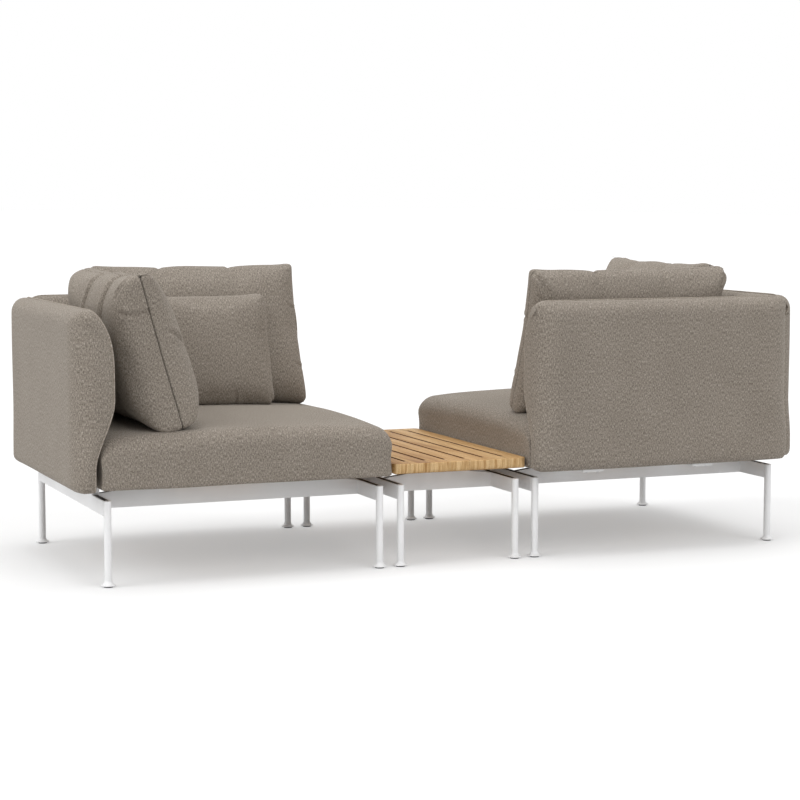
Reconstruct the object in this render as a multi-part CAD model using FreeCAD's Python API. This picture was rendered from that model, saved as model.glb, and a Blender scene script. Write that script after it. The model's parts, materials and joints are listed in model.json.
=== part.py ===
import FreeCAD, Part
import math
import os

# Companion seat bench: two corner seats that face opposite ways with a slatted table between.
# Millimetres. Origin on the floor under the middle of the table, X along the bench, Z up.
# Each seat is drawn once about its own middle, with its back on +Y and its side panel on -X.
# The left seat is that drawing moved along -X. The right seat is turned half a turn about Z.

Vector = FreeCAD.Vector

# Frame of legs and rails
leg_diameter = 19.0
leg_bore = 14.0
leg_span = 726.0            # between leg centres, seats both ways and table along Y
table_leg_span = 331.0      # between table leg centres along X
leg_gap = 59.0              # between leg centres of neighbouring modules
leg_cap = 5.0               # solid top of a leg above its bore
rail_top = 216.0
rail_height = 38.0
rail_wall = 2.5
rail_end_cope = 5.0         # a side rail stops this far short of the leg centre
cross_rail_face = 230.0     # outer face of a cross rail from the middle line
ramp_run = 110.0            # sloping end of a cross rail's top edge
ramp_rise = 14.0

# Dark strip let into the top of every rail
strip_width = 13.0
strip_thickness = 3.0
strip_sink = 0.5

# Foot and levelling glide
foot_diameter = 37.0
foot_rim = 2.5
foot_height = 14.0
foot_core = 20.0            # solid length of the foot above the glide
glide_diameter = 24.0
glide_thickness = 3.0
glide_seat_gap = 0.3
glide_chamfer = 0.6
stem_diameter = 8.0
stem_length = 19.0
stem_clearance = 0.1

# Upholstered panels, the same section and length for back and side
panel_overhang = 86.5       # outer face beyond the leg centre
panel_bottom = 238.0
panel_top = 690.0
panel_free_end = 30.0       # free end beyond the leg centre
back_panel_corner_end = 24.0     # corner ends beyond the leg centre
side_panel_corner_end = 14.0
panel_foot_thickness = 56.0
panel_full_thickness = 104.0
panel_crown = 3.0
panel_nose_radius = 70.0    # outer corners in plan
panel_inner_radius = 12.0
panel_corner_radius = 32.0  # corners in elevation
side_panel_heel_radius = 56.0    # the same at the side panel's corner end
panel_edge_radius = 40.0    # outer face into top
panel_under_radius = 20.0   # outer face into bottom
panel_waist = 95.0          # height over which the foot stays narrow
panel_swell_start = 208.0   # height at which the inner face reaches full swell
panel_shoulder = 45.0       # drop of the inner shoulder below the top

# Panel brackets and their screws
bracket_width = 62.0
bracket_thickness = 8.0
bracket_from_free_end = 177.0
bracket_from_corner_end = 268.0
bracket_under_panel = 30.0  # inset of the bracket's tip from the panel's outer face
bracket_inner_lap = 9.0
screw_diameter = 6.0
screw_head_diameter = 11.0
screw_head_height = 3.3
screw_length = 22.0
screw_hole_clearance = 0.4
screw_spacing = 34.0

# Seat cushion on its board and battens
batten_width = 19.0
seat_bottom = 243.0
seat_overhang = 31.0        # open faces beyond the leg centre
seat_panel_clearance = 9.5  # between the cushion and the panel's foot
seat_corner_height = 382.0
seat_crown = 15.0
seat_edge_radius = 44.0
seat_side_draw = 4.0
seat_trim = 1.0             # plan cut inside the profile's edges
seat_corner_radius = 18.0
seat_bulge = 3.0            # open faces in plan
seat_bottom_radius = 8.0
board_thickness = 12.0
board_inset = 22.0
notch_clearance = 0.3

# Loose cushions
cushion_height = 405.0
cushion_seam = 14.0         # thickness left at an end seam
cushion_taper = 105.0       # length over which an end closes to its seam
cushion_corner = 22.0
cushion_channels = 3
cushion_dip = 7.0
cushion_draw = 14.0
cushion_gap = 0.3
back_cushion_length = 594.0
back_cushion_front = 66.0
back_cushion_rear = 68.0
back_cushion_end = 3.5      # free end beyond the leg centre
back_cushion_foot = 217.0   # middle of the foot from the seat's middle
back_cushion_lean = 17.8    # degrees
side_cushion_front = 80.0
side_cushion_rear = 98.0
side_cushion_end = 3.0      # free end short of the leg centre
side_cushion_foot = 163.5
side_cushion_lean = 15.8
loose_foot_height = 385.0
scatter_width = 330.0
scatter_height = 312.0
scatter_front = 52.0
scatter_rear = 46.0
scatter_right_edge = 245.0
scatter_foot = 128.0
scatter_lean = 14.5
scatter_corner = 16.0
scatter_draw = 8.0
scatter_trim = 1.0          # elevation cut inside the other two outlines

# Slatted table
table_top = 273.0
slat_thickness = 28.0
slat_slot = 9.0
slat_count = 7
table_side_overhang = 21.0  # beyond the leg centre
seat_table_clearance = 0.5
table_border = 50.0
table_corner_radius = 25.0
table_under_radius = 12.0
table_edge_radius = 3.0
table_batten_half = 150.0

# Plates that link neighbouring modules from below
link_thickness = 3.0
link_width = 40.0
link_from_middle = 150.0

# Worked out from the sizes above
half_span = leg_span / 2
table_half = table_leg_span / 2
table_length = table_leg_span + 2 * (leg_gap - seat_overhang - seat_table_clearance)
table_width = leg_span + 2 * table_side_overhang
slat_pitch = (table_length + slat_slot) / slat_count
seat_middle = table_half + leg_gap + half_span
rail_bottom = rail_top - rail_height
cross_rail_middle = cross_rail_face - leg_diameter / 2
rail_flat = rail_top + ramp_rise
panel_face = half_span + panel_overhang
panel_height = panel_top - panel_bottom
panel_end_free = half_span + panel_free_end
bracket_top = rail_flat + bracket_thickness
seat_open = half_span + seat_overhang
seat_closed = panel_face - panel_foot_thickness - seat_panel_clearance
foot_bottom = glide_thickness + glide_seat_gap


def up(shape, distance):
    """Copy of a shape moved along Z."""
    return shape.translated(Vector(0, 0, distance))


def box(x0, x1, y0, y1, z0, z1):
    """Box between two corners."""
    return Part.makeBox(x1 - x0, y1 - y0, z1 - z0, Vector(x0, y0, z0))


def rod(x, y, z0, z1, diameter):
    """Upright round bar."""
    return Part.makeCylinder(diameter / 2, z1 - z0, Vector(x, y, z0))


def place(plane, a, b):
    """Point of a flat outline in the named plane."""
    return {"xy": Vector(a, b, 0), "xz": Vector(a, 0, b), "yz": Vector(0, a, b)}[plane]


def outline(plane, start, steps):
    """Face bounded by lines (one point) and arcs (a point on the way and the end)."""
    edges = []
    here = place(plane, *start)
    for step in steps:
        end = place(plane, *step[-1])
        if len(step) == 1:
            edges.append(Part.LineSegment(here, end).toShape())
        else:
            edges.append(Part.Arc(here, place(plane, *step[0]), end).toShape())
        here = end
    return Part.Face(Part.Wire(edges))


def prism(face, direction, start, end):
    """Solid swept from start to end along a unit direction."""
    return face.translated(direction * start).extrude(direction * (end - start))


def corner(cx, cy, radius, angle_from, angle_to):
    """Arc step round a corner centre, given by its angles in degrees."""
    def at(angle):
        turn = math.radians(angle)
        return (cx + radius * math.cos(turn), cy + radius * math.sin(turn))
    return (at((angle_from + angle_to) / 2), at(angle_to))


def rounded_box_plan(x0, x1, y0, y1, radius):
    """Plan outline with round corners."""
    steps = [((x1 - radius, y0),), corner(x1 - radius, y0 + radius, radius, -90, 0),
             ((x1, y1 - radius),), corner(x1 - radius, y1 - radius, radius, 0, 90),
             ((x0 + radius, y1),), corner(x0 + radius, y1 - radius, radius, 90, 180),
             ((x0, y0 + radius),), corner(x0 + radius, y0 + radius, radius, 180, 270)]
    return outline("xy", (x0 + radius, y0), steps)


AXIS_X = Vector(1, 0, 0)
AXIS_Y = Vector(0, 1, 0)
AXIS_Z = Vector(0, 0, 1)


# Frame

def leg(x, y):
    """Tube closed at the top, with its flared foot and the glide's hole."""
    radius = leg_diameter / 2
    rim = foot_diameter / 2
    hole = stem_diameter / 2 + stem_clearance
    bore_bottom = foot_bottom + foot_core
    cone_top = foot_bottom + foot_height
    cone_middle = ((rim + 2 * radius) / 3, foot_bottom + foot_rim + (foot_height - foot_rim) / 3)
    steps = [((rim, foot_bottom),), ((rim, foot_bottom + foot_rim),),
             (cone_middle, (radius, cone_top)), ((radius, rail_top),), ((0, rail_top),),
             ((0, rail_top - leg_cap),), ((leg_bore / 2, rail_top - leg_cap),),
             ((leg_bore / 2, bore_bottom),), ((hole, bore_bottom),), ((hole, foot_bottom),)]
    face = outline("xz", (hole, foot_bottom), steps)
    return face.revolve(Vector(0, 0, 0), AXIS_Z, 360).translated(Vector(x, y, 0))


def glide(x, y):
    """Round glide on its threaded stem."""
    disc = rod(x, y, 0, glide_thickness, glide_diameter)
    disc = disc.makeChamfer(glide_chamfer, [disc.Edges[2]])
    return disc.fuse(rod(x, y, glide_thickness, glide_thickness + stem_length, stem_diameter))


def side_rail(x):
    """Rail along Y between two legs, hollow, with the strip's groove."""
    half = half_span - rail_end_cope
    wide = leg_diameter / 2
    cavity_top = rail_top - strip_thickness - strip_sink - rail_wall
    rail = box(x - wide, x + wide, -half, half, rail_bottom, rail_top)
    rail = rail.cut(box(x - wide + rail_wall, x + wide - rail_wall, -half, half,
                        rail_bottom + rail_wall, cavity_top))
    groove = box(x - strip_width / 2, x + strip_width / 2, -half, half,
                 rail_top - strip_thickness - strip_sink, rail_top)
    rail = rail.cut(groove)
    for y in (-half_span, half_span):
        rail = rail.cut(rod(x, y, rail_bottom, rail_top, leg_diameter))
    return rail


def side_strip(x):
    """Dark strip in the groove of a side rail."""
    half = half_span - leg_diameter / 2
    low = rail_top - strip_thickness - strip_sink
    return box(x - strip_width / 2, x + strip_width / 2, -half, half, low, low + strip_thickness)


def cross_outline(half, low, lift, flat_low):
    """Outline under the sloping top edge of a cross rail; lift moves the edge."""
    top = rail_top + lift
    flat = half - ramp_run
    points = [(-half, top), (-flat, top + ramp_rise), (flat, top + ramp_rise), (half, top)]
    if flat_low:
        back = [(half, low), (-half, low)]
    else:
        back = [(x, z - low) for x, z in reversed(points)]
    path = points + back
    return outline("xz", path[0], [(p,) for p in path[1:] + path[:1]])


def cross_rail(half, side):
    """Hollow rail along X with sloping top ends; side is -1 near, +1 far."""
    middle = side * cross_rail_middle
    wide = leg_diameter / 2
    groove_depth = strip_thickness + strip_sink
    body = prism(cross_outline(half, rail_bottom, 0, True), AXIS_Y, middle - wide, middle + wide)
    cavity = cross_outline(half, rail_bottom + rail_wall, -groove_depth - rail_wall, True)
    body = body.cut(prism(cavity, AXIS_Y, middle - wide + rail_wall, middle + wide - rail_wall))
    groove = cross_outline(half, groove_depth, 0, False)
    return body.cut(prism(groove, AXIS_Y, middle - strip_width / 2, middle + strip_width / 2))


def cross_strip(half, side):
    """Dark strip in the groove of a cross rail."""
    middle = side * cross_rail_middle
    face = cross_outline(half, strip_thickness, -strip_sink, False)
    return prism(face, AXIS_Y, middle - strip_width / 2, middle + strip_width / 2)


def screw(x, y, seat):
    """Button-head screw driven upwards, head under the seat height."""
    head = Part.makeCone(screw_head_diameter / 4, screw_head_diameter / 2, screw_head_height,
                         Vector(x, y, seat - screw_head_height))
    return head.fuse(rod(x, y, seat, seat + screw_length, screw_diameter))


# Upholstered panels

def panel_section():
    """Section across a panel: first number inwards from the outer face, second up."""
    low = panel_bottom
    top = panel_top
    full = panel_full_thickness + panel_crown
    edge = panel_edge_radius
    under = panel_under_radius
    swell = low + panel_swell_start
    shoulder = (full * 0.725, top - panel_shoulder)
    crest = (edge + 4, top)
    steps = [corner(under, low + under, under, 180, 270)[:1] + ((under, low),),
             ((panel_foot_thickness - 5, low),),
             ((panel_foot_thickness, low + 5),),
             ((panel_foot_thickness, low + panel_waist),),
             ((full * 0.905, swell),),
             ((full, (swell + shoulder[1]) / 2 - 5), shoulder),
             ((full * 0.6, top - 8), crest),
             ((edge, top),),
             corner(edge, top - edge, edge, 90, 180)[:1] + ((0, top - edge),),
             ((0, low + under),)]
    return outline("yz", (0, low + under), steps)


def panel_plan(far):
    """Plan of a panel along X, outer face on Y = 0, inner face crowned."""
    free = panel_end_free
    nose = panel_nose_radius
    inner = panel_inner_radius
    full = panel_full_thickness
    steps = [((free - nose, 0),), corner(free - nose, nose, nose, -90, 0),
             ((free, full - inner),), corner(free - inner, full - inner, inner, 0, 90),
             (((free + far) / 2, full + panel_crown), (far + inner, full)),
             corner(far + inner, full - inner, inner, 90, 180),
             ((far, nose),), corner(far + nose, nose, nose, 180, 270)]
    return outline("xy", (far + nose, 0), steps)


def panel_elevation(far, heel):
    """Elevation of a panel with its corner radii, the heel at the seat's corner."""
    free = panel_end_free
    r = panel_corner_radius
    low = panel_bottom
    top = panel_top
    steps = [((free - r, low),), corner(free - r, low + r, r, -90, 0),
             ((free, top - r),), corner(free - r, top - r, r, 0, 90),
             ((far + heel, top),), corner(far + heel, top - heel, heel, 90, 180),
             ((far, low + heel),), corner(far + heel, low + heel, heel, 180, 270)]
    return outline("xz", (far + heel, low), steps)


def panel_body(corner_end, heel):
    """Panel behind the seat, mitred at the corner."""
    deep = panel_full_thickness + panel_crown
    far = -half_span - corner_end
    body = prism(panel_section(), AXIS_X, far, panel_end_free)
    body = body.common(prism(panel_plan(far), AXIS_Z, panel_bottom, panel_top))
    body = body.common(prism(panel_elevation(far, heel), AXIS_Y, 0, deep))
    body = body.mirror(Vector(0, 0, 0), AXIS_Y).translated(Vector(0, panel_face, 0))
    reach = panel_face + panel_full_thickness
    keep = outline("xy", (0, 0), [((reach, 0),), ((reach, reach),), ((-reach, reach),), ((0, 0),)])
    return body.common(prism(keep, AXIS_Z, panel_bottom, panel_top))


def across(shape):
    """Mirror of a shape in the upright plane through the mitre."""
    return shape.mirror(Vector(0, 0, 0), Vector(1, 1, 0))


def bracket_places():
    """Middle of each bracket along its panel."""
    return (panel_end_free - bracket_from_free_end,
            bracket_from_corner_end - half_span - back_panel_corner_end)


def back_bracket(x):
    """Flat bar from the rear cross rail to the foot of the back panel."""
    inner = cross_rail_middle - leg_diameter / 2
    outer = panel_face - bracket_under_panel
    half = bracket_width / 2
    return box(x - half, x + half, inner, outer, rail_flat, bracket_top)


def side_bracket(x):
    """Short bar on a foot block, drawn as for the back and then turned to the side."""
    half = bracket_width / 2
    wide = leg_diameter / 2
    inner = half_span - wide - bracket_inner_lap
    bar = box(x - half, x + half, inner, panel_face - bracket_under_panel, rail_flat, bracket_top)
    block = box(x - half, x + half, half_span - wide, half_span + wide, rail_top, rail_flat)
    return across(bar.fuse(block).removeSplitter())


def bracket_screw_points():
    """Screw places under the back panel."""
    y = panel_face - bracket_under_panel - screw_head_diameter
    return [(x + s * screw_spacing / 2, y) for x in bracket_places() for s in (-1, 1)]


def drill(shape, points, diameter, low, high):
    """Shape with upright round holes."""
    for x, y in points:
        shape = shape.cut(rod(x, y, low, high, diameter))
    return shape


# Seat

def seat_battens(with_notches):
    """Two bars on the cross rails that carry the seat board."""
    half = half_span - leg_diameter / 2 - ramp_run
    bars = []
    for side in (-1, 1):
        y = side * cross_rail_middle
        bar = box(-half, half, y - batten_width / 2, y + batten_width / 2, rail_flat, seat_bottom)
        if side > 0 and with_notches:
            for x in bracket_places():
                room = bracket_width / 2 + notch_clearance
                bar = bar.cut(box(x - room, x + room, y - batten_width, y + batten_width,
                                  rail_flat, bracket_top + notch_clearance))
        bars.append(bar)
    return bars


def seat_board():
    """Board let into the foot of the seat cushion."""
    low = -seat_closed + board_inset
    high = seat_open - board_inset
    return box(low, high, -high, -low, seat_bottom, seat_bottom + board_thickness)


def seat_profile(plane, low, high):
    """Crowned section with full round top edges and drawn-in sides."""
    r = seat_edge_radius
    foot = seat_bottom_radius
    top = seat_corner_height
    draw = seat_side_draw
    middle = (low + high) / 2
    waist = (seat_bottom + top - r) / 2
    steps = [((high - foot, seat_bottom),),
             ((high - foot * 0.3, seat_bottom + foot * 0.3), (high, seat_bottom + foot)),
             ((high - draw, waist), (high, top - r)), corner(high - r, top - r, r, 0, 90),
             ((middle, top + seat_crown), (low + r, top)), corner(low + r, top - r, r, 90, 180),
             ((low + draw, waist), (low, seat_bottom + foot)),
             ((low + foot * 0.3, seat_bottom + foot * 0.3), (low + foot, seat_bottom))]
    return outline(plane, (low + foot, seat_bottom), steps)


def seat_plan(low, high):
    """Plan with round corners and slightly full open faces."""
    r = seat_corner_radius
    edge = high - seat_bulge
    middle = (low + high) / 2
    steps = [((middle, -high), (edge - r, -edge)), corner(edge - r, r - edge, r, -90, 0),
             ((high, -middle), (edge, -low - r)), corner(edge - r, -low - r, r, 0, 90),
             ((low + r, -low),), corner(low + r, -low - r, r, 90, 180),
             ((low, r - edge),), corner(low + r, r - edge, r, 180, 270)]
    return outline("xy", (low + r, -edge), steps)


def seat_cushion():
    """Thick upholstered seat with a pocket for its board."""
    low = -seat_closed
    high = seat_open
    wide = high + seat_trim
    narrow = low - seat_trim
    body = prism(seat_profile("xz", narrow, wide), AXIS_Y, -wide, -narrow)
    body = body.common(prism(seat_profile("yz", -wide, -narrow), AXIS_X, narrow, wide))
    plan = seat_plan(low, high)
    body = body.common(prism(plan, AXIS_Z, seat_bottom, seat_corner_height + seat_crown))
    return body.cut(seat_board())


# Loose cushions, drawn upright with the front on -Y and the foot at z = 0

def cushion_profile(front, rear, height):
    """Section across a cushion, full in the middle and narrower at head and foot."""
    steps = [((front * -0.5, 0),), ((front * -0.78, height * 0.035), (front * -0.89, height * 0.14)),
             ((-front, height * 0.42), (front * -0.72, height * 0.84)),
             ((front * -0.5, height * 0.96), (0, height)),
             ((rear * 0.5, height * 0.96), (rear * 0.72, height * 0.84)),
             ((rear, height * 0.42), (rear * 0.92, height * 0.14)),
             ((rear * 0.86, height * 0.035), (rear * 0.5, 0))]
    return outline("yz", (rear * 0.5, 0), steps)


def lobes(start, end, count, rise, flip):
    """Arc steps for a row of equal lobes between two points along X."""
    steps = []
    pitch = (end[0] - start[0]) / count
    for i in range(count):
        x0 = start[0] + i * pitch
        x1 = x0 + pitch
        steps.append((((x0 + x1) / 2, start[1] + flip * rise), (x1, start[1])))
    return steps


def cushion_plan(length, front, rear):
    """Plan: lobed faces that close to a seam at each end."""
    half = length / 2
    seam = cushion_seam / 2
    inner = half - cushion_taper
    bend = half - cushion_taper * 0.25
    dip = cushion_dip / 2
    steps = [((bend, -front * 0.62), (half, -seam)), ((half, seam),), ((bend, rear * 0.62), (inner, rear - dip))]
    steps += lobes((inner, rear - dip), (-inner, rear - dip), cushion_channels, dip, 1)
    steps += [((-bend, rear * 0.62), (-half, seam)), ((-half, -seam),), ((-bend, -front * 0.62), (-inner, dip - front))]
    steps += lobes((-inner, dip - front), (inner, dip - front), cushion_channels, dip, -1)
    return outline("xy", (inner, dip - front), steps)


def cushion_elevation(length, height):
    """Elevation: lobed head, round corners and drawn-in ends."""
    half = length / 2
    r = cushion_corner
    head = height - cushion_dip
    draw = cushion_draw
    steps = [((half - r * 0.6, 0),), corner(half - r * 0.6, r * 0.6, r * 0.6, -90, 0),
             ((half - draw, height / 2), (half, head - r)), corner(half - r, head - r, r, 0, 90)]
    steps += lobes((half - r, head), (r - half, head), cushion_channels, cushion_dip, 1)
    steps += [corner(r - half, head - r, r, 90, 180), ((draw - half, height / 2), (-half, r * 0.6)),
              corner(r * 0.6 - half, r * 0.6, r * 0.6, 180, 270)]
    return outline("xz", (r * 0.6 - half, 0), steps)


def cushion(length, front, rear, height):
    """Full cushion from its three outlines."""
    body = prism(cushion_profile(front, rear, height), AXIS_X, -length / 2, length / 2)
    body = body.common(prism(cushion_plan(length, front, rear), AXIS_Z, 0, height))
    return body.common(prism(cushion_elevation(length, height), AXIS_Y, -front, rear))


def lean_back(shape, degrees, x, y, z):
    """Cushion tipped backwards about its foot and set in place."""
    turned = shape.copy()
    turned.rotate(Vector(0, 0, 0), AXIS_X, -degrees)
    return turned.translated(Vector(x, y, z))


def back_cushion(seat, panel):
    """Cushion that leans on the back panel, its foot pressed on the seat."""
    body = cushion(back_cushion_length, back_cushion_front, back_cushion_rear, cushion_height)
    x = half_span + back_cushion_end - back_cushion_length / 2
    body = lean_back(body, back_cushion_lean, x, back_cushion_foot, loose_foot_height)
    return body.cut(up(seat, cushion_gap)).cut(panel.translated(Vector(0, -cushion_gap, 0)))


def side_cushion(seat, reach):
    """Cushion that leans towards the side panel and stops short of the back cushion."""
    free = half_span - side_cushion_end
    length = free + reach - cushion_gap
    body = cushion(length, side_cushion_front, side_cushion_rear, cushion_height)
    body = lean_back(body, side_cushion_lean, free - length / 2, side_cushion_foot, loose_foot_height)
    return across(body).cut(up(seat, cushion_gap))


def scatter_profile(front, rear, height):
    """Section of the small cushion, thin at head and foot."""
    thin = cushion_seam / 2
    steps = [((-thin, 0),), ((-front, height * 0.47), (-thin, height)), ((thin, height),),
             ((rear, height * 0.47), (thin, 0))]
    return outline("yz", (thin, 0), steps)


def scatter_plan(width, front, rear):
    """Plan of the small cushion, thin at both ends."""
    half = width / 2
    thin = cushion_seam / 2
    steps = [((0, -front), (half, -thin)), ((half, thin),), ((0, rear), (-half, thin)), ((-half, -thin),)]
    return outline("xy", (-half, -thin), steps)


def scatter_elevation(width, height):
    """Elevation of the small cushion with drawn-in sides."""
    half = width / 2
    r = scatter_corner
    draw = scatter_draw
    steps = [((0, draw), (half - r, 0)), corner(half - r, r, r, -90, 0),
             ((half - draw, height / 2), (half, height - r)), corner(half - r, height - r, r, 0, 90),
             ((0, height - draw), (r - half, height)), corner(r - half, height - r, r, 90, 180),
             ((draw - half, height / 2), (-half, r)), corner(r - half, r, r, 180, 270)]
    return outline("xz", (r - half, 0), steps)


def scatter_cushion(seat, back):
    """Small cushion that leans on the back cushion."""
    wide = scatter_width + 2 * scatter_trim
    tall = scatter_height + 2 * scatter_trim
    body = prism(scatter_profile(scatter_front, scatter_rear, tall), AXIS_X, -wide / 2, wide / 2)
    body = body.common(prism(scatter_plan(wide, scatter_front, scatter_rear), AXIS_Z, 0, tall))
    body = up(body, -scatter_trim)
    body = body.common(prism(scatter_elevation(scatter_width, scatter_height), AXIS_Y,
                             -scatter_front, scatter_rear))
    x = scatter_right_edge - scatter_width / 2
    body = lean_back(body, scatter_lean, x, scatter_foot, loose_foot_height)
    bounds = back.BoundBox
    behind = box(bounds.XMin, bounds.XMax, bounds.YMin - cushion_gap, bounds.YMax,
                 seat_bottom, loose_foot_height + cushion_height * 0.2)
    body = body.cut(behind).cut(back.translated(Vector(0, -cushion_gap, 0)))
    return largest(body.cut(up(seat, cushion_gap)))


def largest(shape):
    """The biggest solid of a cut shape."""
    return max(shape.Solids, key=lambda solid: solid.Volume)


# Slatted table

def table_body():
    """Outer form of the slatted top with its round corners and edges."""
    half_x = table_length / 2
    half_y = table_width / 2
    low = table_top - slat_thickness
    under = table_under_radius
    edge = table_edge_radius

    def section(plane, half):
        steps = [((half - under, low),), corner(half - under, low + under, under, -90, 0),
                 ((half, table_top - edge),), corner(half - edge, table_top - edge, edge, 0, 90),
                 ((edge - half, table_top),), corner(edge - half, table_top - edge, edge, 90, 180),
                 ((-half, low + under),), corner(under - half, low + under, under, 180, 270)]
        return outline(plane, (under - half, low), steps)

    plan = rounded_box_plan(-half_x, half_x, -half_y, half_y, table_corner_radius)
    body = prism(plan, AXIS_Z, low, table_top)
    body = body.common(prism(section("xz", half_x), AXIS_Y, -half_y, half_y))
    return body.common(prism(section("yz", half_y), AXIS_X, -half_x, half_x))


def slot_middles():
    """Middle of each slot between slats."""
    return [(i - slat_count / 2) * slat_pitch for i in range(1, slat_count)]


def table_slats():
    """Slats side by side, the outer two cut to the round corners."""
    body = table_body()
    edges = [-table_length / 2]
    for x in slot_middles():
        edges += [x - slat_slot / 2, x + slat_slot / 2]
    edges.append(table_length / 2)
    low = table_top - slat_thickness
    half = table_width / 2
    pairs = zip(edges[0::2], edges[1::2])
    return [body.common(box(x0, x1, -half, half, low, table_top)) for x0, x1 in pairs]


def table_spacers():
    """Blocks that close the slots at both ends."""
    body = table_body()
    low = table_top - slat_thickness
    half = table_width / 2
    blocks = []
    for x in slot_middles():
        for y0, y1 in ((-half, table_border - half), (half - table_border, half)):
            piece = box(x - slat_slot / 2, x + slat_slot / 2, y0, y1, low, table_top)
            blocks.append(body.common(piece))
    return blocks


def table_battens():
    """Bars on the table's cross rails that the slats are screwed to."""
    bars = []
    for side in (-1, 1):
        y = side * cross_rail_middle
        bars.append(box(-table_batten_half, table_batten_half, y - batten_width / 2,
                        y + batten_width / 2, rail_flat, table_top - slat_thickness))
    return bars


# Links between modules

def link_points(gap_side):
    """Screw places of the links on one side of the table."""
    inner = table_half
    outer = table_half + leg_gap
    rows = (-link_from_middle, link_from_middle)
    return [(gap_side * x, y) for y in rows for x in (inner, outer)]


def link_plates():
    """Flat plates under neighbouring side rails."""
    low = rail_bottom - link_thickness
    lap = leg_diameter / 2
    plates = []
    for gap_side in (-1, 1):
        ends = sorted((gap_side * (table_half - lap), gap_side * (table_half + leg_gap + lap)))
        for y in (-link_from_middle, link_from_middle):
            plate = box(ends[0], ends[1], y - link_width / 2, y + link_width / 2, low, rail_bottom)
            plates.append(drill(plate, link_points(gap_side), screw_diameter + screw_hole_clearance,
                                low, rail_bottom))
    return plates


# Assembly

def seat_parts():
    """Every piece of one seat about the seat's own middle."""
    parts = {}
    corners = {"arm_front": (-1, -1), "arm_back": (-1, 1), "open_front": (1, -1), "open_back": (1, 1)}
    for name, (sx, sy) in corners.items():
        parts["leg_" + name] = [leg(sx * half_span, sy * half_span)]
        parts["glide_" + name] = [glide(sx * half_span, sy * half_span)]
    inner_half = half_span - leg_diameter / 2
    parts["side_rail_arm"] = [side_rail(-half_span)]
    parts["side_rail_open"] = [side_rail(half_span)]
    parts["cross_rail_front"] = [cross_rail(inner_half, -1)]
    parts["cross_rail_back"] = [cross_rail(inner_half, 1)]
    parts["strips"] = [side_strip(-half_span), side_strip(half_span),
                       cross_strip(inner_half, -1), cross_strip(inner_half, 1)]
    parts["seat_battens"] = seat_battens(True)
    parts["seat_board"] = [seat_board()]
    seat = seat_cushion()
    parts["seat_cushion"] = [seat]
    points = bracket_screw_points()
    hole = screw_diameter + screw_hole_clearance
    screw_top = rail_flat + screw_length
    panel = drill(panel_body(back_panel_corner_end, panel_corner_radius), points,
                  screw_diameter, panel_bottom, screw_top)
    parts["back_panel"] = [panel]
    turned = drill(panel_body(side_panel_corner_end, side_panel_heel_radius), points,
                   screw_diameter, panel_bottom, screw_top)
    parts["side_panel"] = [across(turned)]
    places = bracket_places()
    flat_bars = [drill(back_bracket(x), points, hole, rail_flat, bracket_top) for x in places]
    block_bars = [drill(across(side_bracket(x)), points, hole, rail_flat, bracket_top) for x in places]
    parts["panel_brackets"] = flat_bars + [across(bar) for bar in block_bars]
    screws = [screw(x, y, rail_flat) for x, y in points]
    parts["screws"] = screws + [across(piece) for piece in screws]
    back = back_cushion(seat, panel)
    parts["back_cushion"] = [back]
    parts["side_cushion"] = [side_cushion(seat, back.BoundBox.YMin)]
    parts["scatter_cushion"] = [scatter_cushion(seat, back)]
    return parts


def table_parts():
    """Every piece of the table about the bench's middle."""
    parts = {}
    for side_name, sx in (("left", -1), ("right", 1)):
        parts["side_rail_" + side_name] = [side_rail(sx * table_half)]
        for end_name, sy in (("near", -1), ("far", 1)):
            parts["leg_%s_%s" % (side_name, end_name)] = [leg(sx * table_half, sy * half_span)]
            parts["glide_%s_%s" % (side_name, end_name)] = [glide(sx * table_half, sy * half_span)]
    inner_half = table_half - leg_diameter / 2
    parts["cross_rail_near"] = [cross_rail(inner_half, -1)]
    parts["cross_rail_far"] = [cross_rail(inner_half, 1)]
    parts["strips"] = [side_strip(-table_half), side_strip(table_half),
                       cross_strip(inner_half, -1), cross_strip(inner_half, 1)]
    parts["battens"] = table_battens()
    parts["slats"] = table_slats()
    parts["spacers"] = table_spacers()
    return parts


def to_left(shape):
    """A seat piece in the left seat's place."""
    return shape.translated(Vector(-seat_middle, 0, 0))


def to_right(shape):
    """A seat piece in the right seat's place, turned half a turn."""
    turned = shape.copy()
    turned.rotate(Vector(0, 0, 0), AXIS_Z, 180)
    return turned.translated(Vector(seat_middle, 0, 0))


def assemble():
    """All nodes of the bench, each a list of solids."""
    nodes = {"rail_strips": [], "frame_screws": []}
    shared = {"strips": "rail_strips", "screws": "frame_screws"}
    for prefix, parts, move in (("left_", seat_parts(), to_left), ("right_", seat_parts(), to_right)):
        for name, solids in parts.items():
            placed = [move(solid) for solid in solids]
            nodes.setdefault(shared.get(name, prefix + name), []).extend(placed)
    for name, solids in table_parts().items():
        nodes.setdefault(shared.get(name, "table_" + name), []).extend(solids)
    plate_seat = rail_bottom - link_thickness
    rails = {-1: ("left_side_rail_open", "table_side_rail_left"),
             1: ("right_side_rail_open", "table_side_rail_right")}
    for gap_side, names in rails.items():
        points = link_points(gap_side)
        nodes["frame_screws"] += [screw(x, y, plate_seat) for x, y in points]
        for name in names:
            rail = drill(nodes[name][0], points, screw_diameter, rail_bottom, rail_top - rail_wall)
            nodes[name] = [rail]
    nodes["link_plates"] = link_plates()
    return nodes


def write(nodes):
    """One STEP file for each node."""
    os.makedirs("parts", exist_ok=True)
    for name, solids in sorted(nodes.items()):
        pieces = [solid for shape in solids for solid in shape.Solids]
        shape = pieces[0] if len(pieces) == 1 else Part.makeCompound(pieces)
        if not shape.isValid():
            print("not valid:", name)
        shape.exportStep("parts/" + name + ".step")
        print(name, len(pieces), round(shape.Volume / 1000, 1), "cm3")


write(assemble())
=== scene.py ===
import json
import math

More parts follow.
